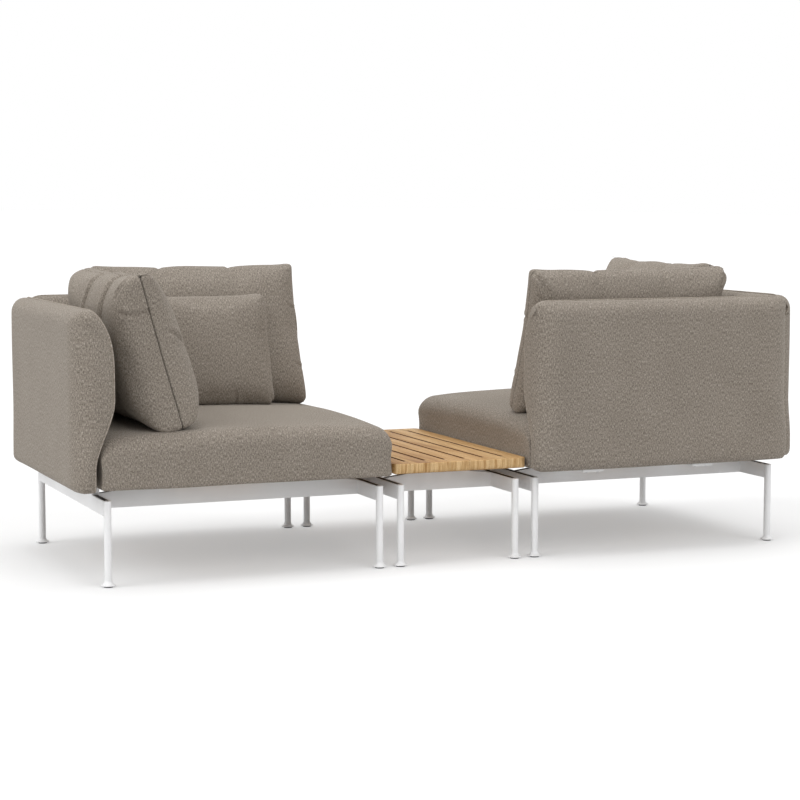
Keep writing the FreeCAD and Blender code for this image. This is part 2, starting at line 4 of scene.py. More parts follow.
import bmesh
import bpy
from mathutils import Matrix, Vector, noise
from mathutils.bvhtree import BVHTree
from mathutils.kdtree import KDTree

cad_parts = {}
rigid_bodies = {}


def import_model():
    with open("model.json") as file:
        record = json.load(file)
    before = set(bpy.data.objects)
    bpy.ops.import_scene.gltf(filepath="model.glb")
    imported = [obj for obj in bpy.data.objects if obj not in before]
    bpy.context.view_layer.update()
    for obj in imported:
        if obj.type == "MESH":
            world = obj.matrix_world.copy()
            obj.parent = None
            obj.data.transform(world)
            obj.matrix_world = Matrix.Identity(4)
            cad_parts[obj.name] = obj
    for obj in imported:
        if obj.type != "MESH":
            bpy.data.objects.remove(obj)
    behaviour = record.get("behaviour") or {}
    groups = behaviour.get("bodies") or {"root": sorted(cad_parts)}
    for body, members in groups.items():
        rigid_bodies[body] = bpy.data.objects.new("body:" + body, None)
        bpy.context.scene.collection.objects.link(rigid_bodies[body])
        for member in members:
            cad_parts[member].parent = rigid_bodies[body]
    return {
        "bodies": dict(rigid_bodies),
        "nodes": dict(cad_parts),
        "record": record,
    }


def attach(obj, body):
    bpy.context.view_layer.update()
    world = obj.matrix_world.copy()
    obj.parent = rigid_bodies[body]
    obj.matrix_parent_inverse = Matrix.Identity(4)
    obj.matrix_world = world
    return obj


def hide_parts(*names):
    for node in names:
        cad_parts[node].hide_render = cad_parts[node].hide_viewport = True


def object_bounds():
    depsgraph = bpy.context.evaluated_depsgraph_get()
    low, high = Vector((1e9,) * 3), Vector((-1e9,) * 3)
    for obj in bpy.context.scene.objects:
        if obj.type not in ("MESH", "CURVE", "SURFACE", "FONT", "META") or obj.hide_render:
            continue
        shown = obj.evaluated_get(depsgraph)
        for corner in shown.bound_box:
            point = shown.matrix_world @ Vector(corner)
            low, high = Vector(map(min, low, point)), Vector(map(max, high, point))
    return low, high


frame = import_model()
cad_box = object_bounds()

# Sizes in metres. Soft pieces are drawn once about a seat's own middle, with the back on +Y
# and the side panel on -X. The outer faces of both panels lie PANEL_FACE from that middle.
PANEL_FACE = round(cad_box[1][1], 4)
SEAT_MIDDLE = round(cad_box[1][0] - PANEL_FACE, 4)
HALF_SPAN = 0.363

SEAT_BOTTOM = 0.243
SEAT_TOP = 0.382
SEAT_CROWN = 0.015
SEAT_HIGH = 0.394
SEAT_LOW = -0.384
SEAT_EDGE = 0.044
SEAT_FOOT_EDGE = 0.009
SEAT_CORNER_TIGHT = 0.006
SEAT_CORNER_LOOSE = 0.018

PANEL_LOW = 0.238
PANEL_TOP = 0.690
PANEL_FOOT = 0.056
PANEL_FULL = 0.107
PANEL_SWELL_LOW = 0.290
PANEL_SWELL_HEIGHT = 0.180
PANEL_SHOULDER = 0.530
PANEL_CREST_LOSS = 0.063
PANEL_FREE = HALF_SPAN + 0.030
BACK_PANEL_END, BACK_PANEL_HEEL = HALF_SPAN + 0.024, 0.034
SIDE_PANEL_END, SIDE_PANEL_HEEL = HALF_SPAN + 0.014, 0.056

CUSHION_FOOT = 0.385
CUSHION_HEIGHT = 0.405
CUSHION_SINK = 0.006
WELT = 0.0021
SKIN_GAP = 0.0004
SLAT_PITCH = 0.0564

PLACES = {"left": Matrix.Translation((-SEAT_MIDDLE, 0, 0)),
          "right": Matrix.Translation((SEAT_MIDDLE, 0, 0)) @ Matrix.Rotation(math.pi, 4, "Z")}
ACROSS = Matrix(((0, -1, 0, 0), (-1, 0, 0, 0), (0, 0, 1, 0), (0, 0, 0, 1)))


# Mesh helpers

def add_mesh(name, verts, faces):
    """New object from plain lists."""
    mesh = bpy.data.meshes.new(name)
    mesh.from_pydata([tuple(v) for v in verts], [], faces)
    mesh.validate()
    obj = bpy.data.objects.new(name, mesh)
    bpy.context.scene.collection.objects.link(obj)
    return obj


def outward(obj):
    """Faces turned outwards and shaded smooth."""
    bm = bmesh.new()
    bm.from_mesh(obj.data)
    bmesh.ops.recalc_face_normals(bm, faces=bm.faces)
    bm.to_mesh(obj.data)
    bm.free()
    obj.data.shade_smooth()


def apply_modifier(obj, kind, **settings):
    """Adds one modifier and applies it."""
    modifier = obj.modifiers.new(kind, kind)
    for key, value in settings.items():
        setattr(modifier, key, value)
    bake(obj)


def bake(obj):
    """The evaluated mesh takes the place of the object's own, with no modifiers left."""
    graph = bpy.context.evaluated_depsgraph_get()
    graph.update()
    mesh = bpy.data.meshes.new_from_object(obj.evaluated_get(graph))
    obj.modifiers.clear()
    obj.data = mesh
    obj.data.shade_smooth()


def move(obj, matrix):
    """Moves the mesh itself and keeps its faces turned outwards."""
    obj.data.transform(matrix)
    if matrix.determinant() < 0:
        obj.data.flip_normals()
    obj.data.update()


def double(obj, name, matrix):
    """Copy of an object with its mesh moved."""
    other = bpy.data.objects.new(name, obj.data.copy())
    bpy.context.scene.collection.objects.link(other)
    move(other, matrix)
    return other


def tree(obj):
    """Search tree of a mesh."""
    bm = bmesh.new()
    bm.from_mesh(obj.data)
    found = BVHTree.FromBMesh(bm)
    bm.free()
    return found


def push_out(obj, other, gap, reach=0.06):
    """Presses the surface of obj flat where it would enter the other piece."""
    search = tree(other)
    for vertex in obj.data.vertices:
        spot, normal = search.find_nearest(vertex.co, reach)[:2]
        if spot is not None and (vertex.co - spot).dot(normal) < gap:
            vertex.co = spot + normal * gap
    obj.data.update()


def settle(obj, seat, foot, height):
    """Lets the foot of a cushion sink with the seat where it falls away towards its edges."""
    search = tree(seat)
    above, reach = 0.05, 0.09
    for vertex in obj.data.vertices:
        share = 1 - smooth((vertex.co.z - foot) / height)
        if share > 0:
            start = Vector((vertex.co.x, vertex.co.y, foot + above))
            spot = search.ray_cast(start, Vector((0, 0, -1)), reach)[0]
            if spot is not None and spot.z < foot:
                vertex.co.z -= share * min(CUSHION_SINK, foot - spot.z)
    obj.data.update()


def place_vertices(obj, places):
    """Puts every vertex at its new place."""
    obj.data.vertices.foreach_set("co", [c for p in places for c in p])
    obj.data.update()


def ripple(obj, size, depth, seed):
    """Soft unevenness of stuffed cloth."""
    offset = Vector((seed, 2 * seed, 0))
    place_vertices(obj, [v.co + v.normal * (depth * noise.noise(v.co / size + offset))
                         for v in obj.data.vertices])


def lerp(a, b, f):
    """Value at the share f of the way from a to b."""
    return a + (b - a) * f


# Upholstered forms drawn as a section carried along stations

def arc_points(cx, cy, radius, start, end, count):
    """Points of an arc, angles in degrees, without the last one."""
    points = []
    for i in range(count):
        angle = math.radians(lerp(start, end, i / count))
        points.append((cx + radius * math.cos(angle), cy + radius * math.sin(angle)))
    return points


def spread(points, spacing):
    """The same closed line with even spacing."""
    closed = points + points[:1]
    lengths = [0.0]
    for p, q in zip(closed, closed[1:]):
        lengths.append(lengths[-1] + math.dist(p, q))
    count = round(lengths[-1] / spacing)
    out = []
    k = 0
    for i in range(count):
        target = lengths[-1] * i / count
        while lengths[k + 1] < target:
            k += 1
        f = (target - lengths[k]) / (lengths[k + 1] - lengths[k])
        p, q = closed[k], closed[k + 1]
        out.append((lerp(p[0], q[0], f), lerp(p[1], q[1], f)))
    return out


def zipped(ring, base):
    """Triangles that close a tall thin ring, from its foot up both sides to its top."""
    n = len(ring)
    top = max(range(n), key=lambda i: ring[i][2])
    foot = min(range(n), key=lambda i: ring[i][2])
    one = [(foot + k) % n for k in range((top - foot) % n + 1)]
    other = [(foot - k) % n for k in range((foot - top) % n + 1)]
    faces = []
    a = b = 0
    while a < len(one) - 1 or b < len(other) - 1:
        if a == len(one) - 1 or b == len(other) - 1:
            first = a < len(one) - 1
        else:
            first = ring[one[a + 1]][2] < ring[other[b + 1]][2]
        fresh = one[a + 1] if first else other[b + 1]
        if len({one[a], fresh, other[b]}) == 3:
            faces.append((base + one[a], base + fresh, base + other[b]))
        a, b = (a + 1, b) if first else (a, b + 1)
    return faces


def dome(verts, faces, ring, base, bulge):
    """Adds a shallow dome along X over a ring whose vertices start at base."""
    n = len(ring)
    middle = [sum(v[k] for v in ring) / n for k in range(3)]
    last = list(range(base, base + n))
    for f in (0.995, 0.985, 0.965, 0.92, 0.83, 0.68, 0.5, 0.3, 0.12):
        rise = bulge * (1 - f * f)
        fresh = list(range(len(verts), len(verts) + n))
        verts += [(v[0] + rise, lerp(middle[1], v[1], f), lerp(middle[2], v[2], f)) for v in ring]
        for i in range(n):
            j = (i + 1) % n
            faces.append((last[i], last[j], fresh[j], fresh[i]))
        last = fresh
    tip = len(verts)
    verts.append((middle[0] + bulge, middle[1], middle[2]))
    for i in range(n):
        faces.append((last[i], last[(i + 1) % n], tip))


def skin(name, rings, bulge=None):
    """Surface through a row of rings along X, closed by shallow domes or by strips of triangles."""
    verts = [v for ring in rings for v in ring]
    faces = []
    n = len(rings[0])
    for r in range(len(rings) - 1):
        for i in range(n):
            j = (i + 1) % n
            faces.append((r * n + i, r * n + j, (r + 1) * n + j, (r + 1) * n + i))
    base = (len(rings) - 1) * n
    if bulge is None:
        faces += zipped(rings[0], 0) + zipped(rings[-1], base)
    else:
        dome(verts, faces, rings[0], 0, -bulge)
        dome(verts, faces, rings[-1], base, bulge)
    obj = add_mesh(name, verts, faces)
    outward(obj)
    return obj


def carry(name, section, stations, bulge):
    """Loft of a section through stations (along, low a, high a, low b, high b)."""
    a_low = min(p[0] for p in section)
    a_high = max(p[0] for p in section)
    b_low = min(p[1] for p in section)
    b_high = max(p[1] for p in section)
    rings = []
    for along, la, ha, lb, hb in stations:
        rings.append([(along, lerp(la, ha, (a - a_low) / (a_high - a_low)),
                       lerp(lb, hb, (b - b_low) / (b_high - b_low))) for a, b in section])
    return skin(name, rings, bulge)


def end_steps(radius, count):
    """Distances from an end that follow a quarter turn."""
    return [radius * (1 - math.sin(math.pi / 2 * i / count)) for i in range(count)]


def round_in(distance, radius):
    """How far a corner of this radius stands back at a distance from the end."""
    if distance >= radius:
        return 0.0
    return radius - math.sqrt(max(0.0, radius * radius - (radius - distance) ** 2))


def smooth(f):
    """Eased step from 0 to 1."""
    f = min(1.0, max(0.0, f))
    return f * f * (3 - 2 * f)


def panel_inner(z):
    """Thickness of a panel at a height."""
    if z < PANEL_SHOULDER:
        return lerp(PANEL_FOOT, PANEL_FULL, smooth((z - PANEL_SWELL_LOW) / PANEL_SWELL_HEIGHT))
    f = (z - PANEL_SHOULDER) / (PANEL_TOP - PANEL_SHOULDER)
    return PANEL_FULL - PANEL_CREST_LOSS * (1 - math.sqrt(max(0.0, 1 - f ** 2.3)))


def panel_section():
    """Section of a panel: offset inwards from the outer face, height."""
    top, under, tight, crest = 0.040, 0.020, 0.006, 0.120
    curved, straight = 24, 45
    points = [(0.0, PANEL_LOW + under), (0.0, 0.56)]
    points += arc_points(top, PANEL_TOP - top, top, 180, 90, 12)
    heights = [PANEL_TOP - crest * (1 - math.cos(math.pi / 2 * i / curved)) for i in range(curved)]
    heights += [lerp(PANEL_TOP - crest, PANEL_LOW + tight, i / straight)
                for i in range(straight + 1)]
    points += [(panel_inner(z), z) for z in heights]
    points += arc_points(PANEL_FOOT - tight, PANEL_LOW + tight, tight, 0, -90, 5)
    points += arc_points(under, PANEL_LOW + under, under, 270, 180, 8)
    return points


def panel(name, far, heel):
    """One upholstered panel along X with its outer face on +Y, cut at the corner's mitre."""
    free = PANEL_FREE
    nose, inner, top, under = 0.070, 0.014, 0.034, 0.022
    draw, blend = 0.028, 0.12
    straight = 46
    ends = end_steps(nose, 22)
    stations = [d - far for d in ends] + [free - d for d in ends]
    stations += [lerp(nose - far, free - nose, i / straight) for i in range(straight + 1)]
    section = spread(panel_section(), 0.008)

    def ring(x, share=1.0):
        near = min(free - x, x + far)
        drop = round_in(near, top if free - x < x + far else heel)
        lift = round_in(near, under)
        fuller = 1 - draw * (1 - math.sin(math.pi * (x + far) / (free + far)))
        points = []
        for a, z in section:
            thick = panel_inner(z)
            inside = thick * fuller - round_in(near, inner)
            deep = min(nose, thick * fuller - inner - 0.002)
            outer = deep * round_in(near, nose) / nose
            low = 1 - smooth((z - PANEL_LOW) / blend)
            high = smooth((z - PANEL_TOP) / blend + 1)
            across = lerp((outer + inside) / 2, lerp(outer, inside, a / thick), share)
            points.append((x, across, z + lift * low - drop * high))
        return points

    stations = sorted({round(x, 5) for x in stations})
    closing = (0.06, 0.35, 0.75, 0.96)
    rings = [ring(stations[0], f) for f in closing] + [ring(x) for x in stations]
    rings += [ring(stations[-1], f) for f in reversed(closing)]
    obj = skin(name, rings)
    move(obj, Matrix.Translation((0, PANEL_FACE, 0)) @ Matrix.Diagonal((1, -1, 1, 1)))
    mitre = [v for v in obj.data.vertices if v.co.y < -v.co.x]
    for vertex in mitre:
        across = (vertex.co.x + vertex.co.y) / 2
        vertex.co.x -= across
        vertex.co.y -= across
    outward(obj)
    return obj


def seat_crown(f):
    """Rise of the seat's top at a share of its width."""
    return SEAT_CROWN * math.sin(math.pi * f) ** 0.8


def seat_section():
    """Section of the seat cushion: across, height, with a crown and drawn-in sides."""
    low, high, top, r, foot = SEAT_LOW, SEAT_HIGH, SEAT_TOP, SEAT_EDGE, SEAT_FOOT_EDGE
    flat = 0.010
    points = [(low + flat, SEAT_BOTTOM), (high - flat, SEAT_BOTTOM)]
    points += arc_points(high - foot, SEAT_BOTTOM + foot, foot, -90, 0, 6)
    sides = [(0.2, 0.0022), (0.5, 0.0035), (0.8, 0.0020)]
    points += [(high - d, lerp(SEAT_BOTTOM + foot, top - r, f)) for f, d in sides]
    points += arc_points(high - r, top - r, r, 0, 90, 14)
    points += [(lerp(high - r, low + r, i / 24), top + seat_crown(i / 24)) for i in range(25)]
    points += arc_points(low + r, top - r, r, 90, 180, 14)
    points += [(low + d, lerp(top - r, SEAT_BOTTOM + foot, f)) for f, d in sides]
    points += arc_points(low + foot, SEAT_BOTTOM + foot, foot, 180, 270, 6)
    return points


def seat_cushion(name):
    """Thick seat with round edges, drawn as sections along Y."""
    r, tight, loose = SEAT_EDGE, SEAT_CORNER_TIGHT, SEAT_CORNER_LOOSE
    low, high = -SEAT_HIGH, -SEAT_LOW
    places = []
    for radius, count in ((r, 14), (loose, 8), (tight, 5)):
        for step in end_steps(radius, count):
            places += [low + step, high - step]
    places += [lerp(low + r, high - r, i / 60) for i in range(61)] + [low, high]
    rows = []
    for y in sorted({round(p, 5) for p in places}):
        near = min(y - low, high - y)
        f = (y - low) / (high - low)
        closed = round_in(near, tight)
        open_ = round_in(near, loose if f < 0.5 else tight)
        fuller = 0.003 * math.sin(math.pi * f)
        top = SEAT_TOP + seat_crown(f) - round_in(near, r)
        rows.append((y, SEAT_LOW + closed, SEAT_HIGH - 0.003 + fuller - open_,
                     SEAT_BOTTOM + round_in(near, SEAT_FOOT_EDGE), top))
    obj = carry(name, spread(seat_section(), 0.011), rows, 0.0015)
    move(obj, Matrix(((0, 1, 0, 0), (1, 0, 0, 0), (0, 0, 1, 0), (0, 0, 0, 1))))
    outward(obj)
    return obj


# Loose cushions

def even_steps(half, depth, power, count):
    """Places from -1 to 1 that walk evenly along a full rounded profile."""
    last = 400
    fine = [-math.cos(math.pi * i / last) for i in range(last + 1)]
    curve = [(s * half, depth * max(0.0, 1 - abs(s) ** power) ** (1 / power)) for s in fine]
    lengths = [0.0]
    for p, q in zip(curve, curve[1:]):
        lengths.append(lengths[-1] + math.dist(p, q))
    out = []
    k = 0
    for i in range(count + 1):
        target = lengths[-1] * i / count
        while k < last - 1 and lengths[k + 1] < target:
            k += 1
        f = (target - lengths[k]) / (lengths[k + 1] - lengths[k])
        out.append(lerp(fine[k], fine[k + 1], min(1.0, f)))
    out[0], out[-1] = -1.0, 1.0
    return out


def pillow(name, length, height, front, rear, spec):
    """Stuffed cushion of two faces joined by one seam, upright, foot at z = 0, front on -Y.

    The spec holds the roundness of its ends and its head, the size of its cells, its corners'
    radius, how far its sides draw in, the places and depth of dips in its top, and how much
    thinner it grows upwards.
    """
    half_l, half_h = length / 2, height / 2
    depth = (front + rear) / 2
    notch, hollow, thinner = 0.045, 0.16, 0.16
    ss = even_steps(half_l, depth, spec["end"], round((length + 1.2 * depth) / spec["cell"]))
    ts = even_steps(half_h, depth, spec["head"], round((height + 1.2 * depth) / spec["cell"]))
    nx, nz = len(ss), len(ts)

    def spot(i, j, side):
        s, t = ss[i], ts[j]
        x, z = s * half_l, t * half_h
        r = spec["corner"]
        dx, dz = abs(x) - (half_l - r), abs(z) - (half_h - r)
        if dx > 0 and dz > 0:
            fx = dx * math.sqrt(1 - dz * dz / (2 * r * r))
            fz = dz * math.sqrt(1 - dx * dx / (2 * r * r))
            x = math.copysign(half_l - r + fx, x)
            z = math.copysign(half_h - r + fz, z)
        x -= math.copysign(spec["draw"] * (1 - t * t) * abs(s) ** 3, x)
        lobe = 0.0
        for place in spec["dips"]:
            off = s - place
            lobe += 0.55 * math.exp(-(off / notch) ** 2) + 0.45 * math.exp(-(off / hollow) ** 2)
        rise = max(0.0, t) ** 3
        z -= spec["dip"] * (lobe + 0.5 * s * s * (1 if spec["dips"] else 0)) * rise
        if not spec["dips"]:
            z -= math.copysign(spec["draw"] * (1 - s * s) * abs(t) ** 3, z)
        along = max(1e-6, 1 - abs(s) ** spec["end"]) ** (1 / spec["end"])
        upright = max(1e-6, 1 - abs(t) ** spec["head"]) ** (1 / spec["head"])
        fat = (along ** -5 + upright ** -5 - 1) ** -0.2 if min(along, upright) > 0.02 else 0.0
        fat *= 1 - spec["slope"] * t
        fat *= 1 - thinner * lobe * (0.25 + 0.75 * max(0.0, t) ** 1.5)
        y = -front * fat if side < 0 else rear * fat
        return (x, y, z + half_h)

    verts, index = [], {}
    for side in (-1, 1):
        for i in range(nx):
            for j in range(nz):
                rim = i in (0, nx - 1) or j in (0, nz - 1)
                key = (i, j) if rim else (i, j, side)
                if key not in index:
                    index[key] = len(verts)
                    verts.append(spot(i, j, side))

    def at(i, j, side):
        return index.get((i, j), index.get((i, j, side)))

    faces = []
    for side in (-1, 1):
        for i in range(nx - 1):
            for j in range(nz - 1):
                quad = [at(i, j, side), at(i + 1, j, side),
                        at(i + 1, j + 1, side), at(i, j + 1, side)]
                faces.append(quad if side < 0 else quad[::-1])
    obj = add_mesh(name, verts, faces)
    outward(obj)
    rim = obj.vertex_groups.new(name="seam")
    wide = 4
    for key, number in index.items():
        steps = min(key[0], nx - 1 - key[0], key[1], nz - 1 - key[1])
        if steps < wide:
            rim.add([number], 1 - steps / wide, "REPLACE")
    return obj


def box_of(obj):
    """Lowest and highest place of a mesh on each axis."""
    places = [v.co for v in obj.data.vertices]
    return [(min(p[k] for p in places), max(p[k] for p in places)) for k in range(3)]


def fit(obj, wanted):
    """Stretches a mesh back into the box that it had."""
    now = box_of(obj)
    for vertex in obj.data.vertices:
        for k in (0, 2):
            f = (vertex.co[k] - now[k][0]) / (now[k][1] - now[k][0])
            vertex.co[k] = lerp(wanted[k][0], wanted[k][1], f)
    obj.data.update()


def seam(obj, depth, width, groove_shade=0.0):
    """Sewn line along the rim where the two faces meet, with painted shade in its groove towards
    the ends.

    A negative depth makes it stand proud.
    """
    end = box_of(obj)[0][1]
    before, blend = 0.040, 0.025
    bm = bmesh.new()
    bm.from_mesh(obj.data)
    weights = bm.verts.layers.deform.active
    on_rim = [v for v in bm.verts if v[weights].get(0, 0.0) > 0.999]
    chosen = set(on_rim)
    edges = [e for e in bm.edges if e.verts[0] in chosen and e.verts[1] in chosen]
    search = KDTree(len(on_rim))
    for number, vertex in enumerate(on_rim):
        search.insert(vertex.co, number)
    search.balance()
    # Painted shade: a per-vertex weight that darkens the seam's groove towards the ends.
    seam_shade = bm.verts.layers.float.new("seam_shade")
    made = bmesh.ops.bevel(bm, geom=edges, offset=width, segments=2, profile=0.5, affect="EDGES")
    bm.normal_update()
    for vertex in made["verts"]:
        if vertex.is_valid and search.find(vertex.co)[2] < width * 0.75:
            vertex.co -= vertex.normal * depth
            vertex[seam_shade] = groove_shade * smooth((abs(vertex.co.x) - end + before) / blend)
    bm.to_mesh(obj.data)
    bm.free()
    obj.vertex_groups.clear()
    obj.data.shade_smooth()


def stuff(obj, pressure, cap, pucker=0.02):
    """Blows the cloth up from inside, drawn together along its seam, and caps how far it moves."""
    steps = 20
    start = [v.co.copy() for v in obj.data.vertices]
    box = box_of(obj)
    modifier = obj.modifiers.new("stuffing", "CLOTH")
    settings = modifier.settings
    settings.quality = 5
    settings.mass = 0.3
    settings.tension_stiffness = 12
    settings.compression_stiffness = 12
    settings.shear_stiffness = 5
    settings.bending_stiffness = 0.25
    settings.use_pressure = True
    settings.uniform_pressure_force = pressure
    settings.vertex_group_shrink = "seam"
    settings.shrink_min = 0.0
    settings.shrink_max = pucker
    settings.effector_weights.gravity = 0
    modifier.collision_settings.use_collision = False
    scene = bpy.context.scene
    for step in range(steps):
        scene.frame_set(step + 1)
    bake(obj)
    scene.frame_set(1)
    for vertex, old in zip(obj.data.vertices, start):
        shift = vertex.co - old
        if shift.length > cap:
            vertex.co = old + shift * (cap / shift.length)
    fit(obj, box)


def crease(obj, path, depth, width, side):
    """Fold along a path on one face: a valley that fades at both ends, with a roll beside it."""
    roll_height, roll_place, roll_width = 0.5, 1.9, 1.1
    path = [Vector((x, 0, z)) for x, z in path]
    legs = [(q - p).length for p, q in zip(path, path[1:])]
    moved = []
    for vertex in obj.data.vertices:
        place = vertex.co.copy()
        moved.append(place)
        if side * place.y < -0.002 or not near_path(place, path, 4 * width):
            continue
        off, along, hand = on_path(Vector((place.x, 0, place.z)), path, legs)
        fade = smooth((1 - along) * 1.6) * smooth(along * 9 + 0.25)
        off = off / width
        roll = roll_height * math.exp(-((off - roll_place) / roll_width) ** 2)
        roll *= 1.2 if hand > 0 else 0.6
        place += vertex.normal * (depth * fade * (roll - math.exp(-off * off)))
    place_vertices(obj, moved)


def near_path(place, path, reach):
    """Whether a point lies in the box round a path."""
    return all(min(p[k] for p in path) - reach < place[k] < max(p[k] for p in path) + reach
               for k in (0, 2))


def on_path(flat, path, legs):
    """Distance from a path, share of its length, and the side on which a point lies."""
    best = None
    done = 0.0
    for p, q, leg in zip(path, path[1:], legs):
        line = (q - p) / leg
        along = min(leg, max(0.0, (flat - p).dot(line)))
        away = flat - p - line * along
        if best is None or away.length < best[0]:
            hand = away.x * line.z - away.z * line.x
            best = (away.length, (done + along) / sum(legs), hand)
        done += leg
    return best


# Materials

def material(name):
    """New node material, its tree and its shader."""
    made = bpy.data.materials.new(name)
    made.use_nodes = True
    return made, made.node_tree, made.node_tree.nodes["Principled BSDF"]


def node(tree_, kind, **values):
    """New shader node with input values by name or settings by attribute."""
    made = tree_.nodes.new(kind)
    for key, value in values.items():
        if key in made.inputs:
            made.inputs[key].default_value = value
        else:
            setattr(made, key, value)
    return made


def ramp(tree_, stops):
    """Colour ramp from (place, colour) stops."""
    made = tree_.nodes.new("ShaderNodeValToRGB")
    elements = made.color_ramp.elements
    while len(elements) < len(stops):
        elements.new(0.5)
    for element, (place, colour) in zip(elements, stops):
        element.position = place
        element.color = (*colour, 1)
    return made


def stretched(tree_, source, scale, **values):
    """Noise over stretched coordinates, with so many grains per metre each way."""
    mapping = node(tree_, "ShaderNodeMapping")
    mapping.inputs["Scale"].default_value = scale
    tree_.links.new(source, mapping.inputs["Vector"])
    made = node(tree_, "ShaderNodeTexNoise", Scale=1.0, **values)
    tree_.links.new(mapping.outputs[0], made.inputs["Vector"])
    return made.outputs["Fac"]


def plug(tree_, value, socket):
    """Links a socket or sets a constant."""
    if isinstance(value, bpy.types.NodeSocket):
        tree_.links.new(value, socket)
    else:
        socket.default_value = value


def math_node(tree_, operation, a, b=None):
    """Maths on sockets or numbers."""
    made = tree_.nodes.new("ShaderNodeMath")
    made.operation = operation
    plug(tree_, a, made.inputs[0])
    if b is not None:
        plug(tree_, b, made.inputs[1])
    return made.outputs[0]


def weighted(tree_, *parts):
    """Sum of sockets, each times its weight."""
    total = None
    for source, weight in parts:
        part = math_node(tree_, "MULTIPLY", source, weight)
        total = part if total is None else math_node(tree_, "ADD", total, part)
    return total


def mix(tree_, kind, factor, plain, other, **settings):
    """Mix of two numbers or two colours, each a socket or a constant."""
    made = node(tree_, "ShaderNodeMix", data_type=kind, **settings)
    first, result = {"FLOAT": (2, 0), "RGBA": (6, 2)}[kind]
    for place, value in ((0, factor), (first, plain), (first + 1, other)):
        plug(tree_, value, made.inputs[place])
    return made.outputs[result]


def split(tree_, source):
    """The three parts of a vector."""
    made = node(tree_, "ShaderNodeSeparateXYZ")
    tree_.links.new(source, made.inputs[0])
    return made.outputs


def between(tree_, source, low, high):
    """A socket from 0 to 1 carried over to another range."""
    made = node(tree_, "ShaderNodeMapRange")
    made.inputs["To Min"].default_value = low
    made.inputs["To Max"].default_value = high
    tree_.links.new(source, made.inputs["Value"])
    return made.outputs[0]


def toned(tree_, tone, stops, shade=1.0):
    """Colours of a tone, all darker or lighter by the shade."""
    colours = ramp(tree_, [(p, tuple(c * shade for c in colour)) for p, colour in stops])
    tree_.links.new(tone, colours.inputs["Fac"])
    return colours.outputs["Color"]


def bumped(tree_, shader, height, strength, distance):
    """Gives a shader its relief."""
    bump = node(tree_, "ShaderNodeBump", Strength=strength, Distance=distance)
    tree_.links.new(height, bump.inputs["Height"])
    tree_.links.new(bump.outputs[0], shader.inputs["Normal"])


def nearest_plane(tree_):
    """Two coordinates in metres in the plane that a surface lies nearest to."""
    source = node(tree_, "ShaderNodeTexCoord")
    place = split(tree_, source.outputs["Object"])
    facing = split(tree_, source.outputs["Normal"])
    x, y, z = [math_node(tree_, "ABSOLUTE", facing[k]) for k in range(3)]
    sideways = math_node(tree_, "GREATER_THAN", x, math_node(tree_, "MAXIMUM", y, z))
    level = math_node(tree_, "GREATER_THAN", z, math_node(tree_, "MAXIMUM", x, y))
    flat = node(tree_, "ShaderNodeCombineXYZ")
    tree_.links.new(mix(tree_, "FLOAT", sideways, place[0], place[1]), flat.inputs[0])
    tree_.links.new(mix(tree_, "FLOAT", level, place[2], place[1]), flat.inputs[1])
    return flat.outputs[0]


def woven(name, shade=1.0):
    """Melange weave: threads both ways, each with its own uneven tone, and painted shade along the
    seam's groove.
    """
    made, tree_, shader = material(name)
    flat = nearest_plane(tree_)
    across = stretched(tree_, flat, (540, 140, 1), Detail=2.0, Roughness=0.6)
    along = stretched(tree_, flat, (180, 540, 1), Detail=2.0, Roughness=0.6)
    slub = stretched(tree_, flat, (950, 800, 1), Detail=2.0, Roughness=0.7)
    cloudy = stretched(tree_, flat, (9, 7, 1), Detail=2.0)
    tone = weighted(tree_, (across, 0.50), (along, 0.26), (slub, 0.20), (cloudy, 0.04))
    stops = [(0.375, (0.118, 0.097, 0.077)), (0.5, (0.252, 0.217, 0.180)),
             (0.625, (0.450, 0.404, 0.350))]
    # Painted shade: the seam's per-vertex weight darkens the cloth towards near black along its
    # groove.
    seam_shade = node(tree_, "ShaderNodeAttribute", attribute_name="seam_shade").outputs["Fac"]
    seam_shaded = mix(tree_, "RGBA", math_node(tree_, "MULTIPLY", seam_shade, 0.75),
               toned(tree_, tone, stops, shade), (0.045, 0.038, 0.030, 1))
    tree_.links.new(seam_shaded, shader.inputs["Base Color"])
    turns = 2 * math.pi / 0.0024
    waves = [math_node(tree_, "SINE", math_node(tree_, "MULTIPLY", axis, turns))
             for axis in split(tree_, flat)[:2]]
    weave = math_node(tree_, "MULTIPLY", *waves)
    height = math_node(tree_, "ADD", math_node(tree_, "MULTIPLY", weave, 0.22), tone)
    bumped(tree_, shader, height, 0.55, 0.0009)
    shader.inputs["Roughness"].default_value = 0.92
    shader.inputs["Sheen Weight"].default_value = 0.20
    shader.inputs["Sheen Roughness"].default_value = 0.5
    shader.inputs["Sheen Tint"].default_value = (0.80, 0.76, 0.70, 1)
    shader.inputs["Specular IOR Level"].default_value = 0.25
    return made


def coated(name, colour, roughness=0.38, metallic=0.0):
    """Satin powder coat: fine orange peel and faint tone changes."""
    made, tree_, shader = material(name)
    place = node(tree_, "ShaderNodeTexCoord").outputs["Object"]
    peel = stretched(tree_, place, (900, 900, 900), Detail=2.0)
    haze = stretched(tree_, place, (14, 14, 14), Detail=3.0)
    colours = toned(tree_, haze, [(0.3, tuple(c * 0.955 for c in colour)), (0.7, colour)])
    tree_.links.new(colours, shader.inputs["Base Color"])
    rough = between(tree_, haze, roughness - 0.05, roughness + 0.07)
    tree_.links.new(rough, shader.inputs["Roughness"])
    bumped(tree_, shader, peel, 0.12, 0.0003)
    shader.inputs["Metallic"].default_value = metallic
    return made


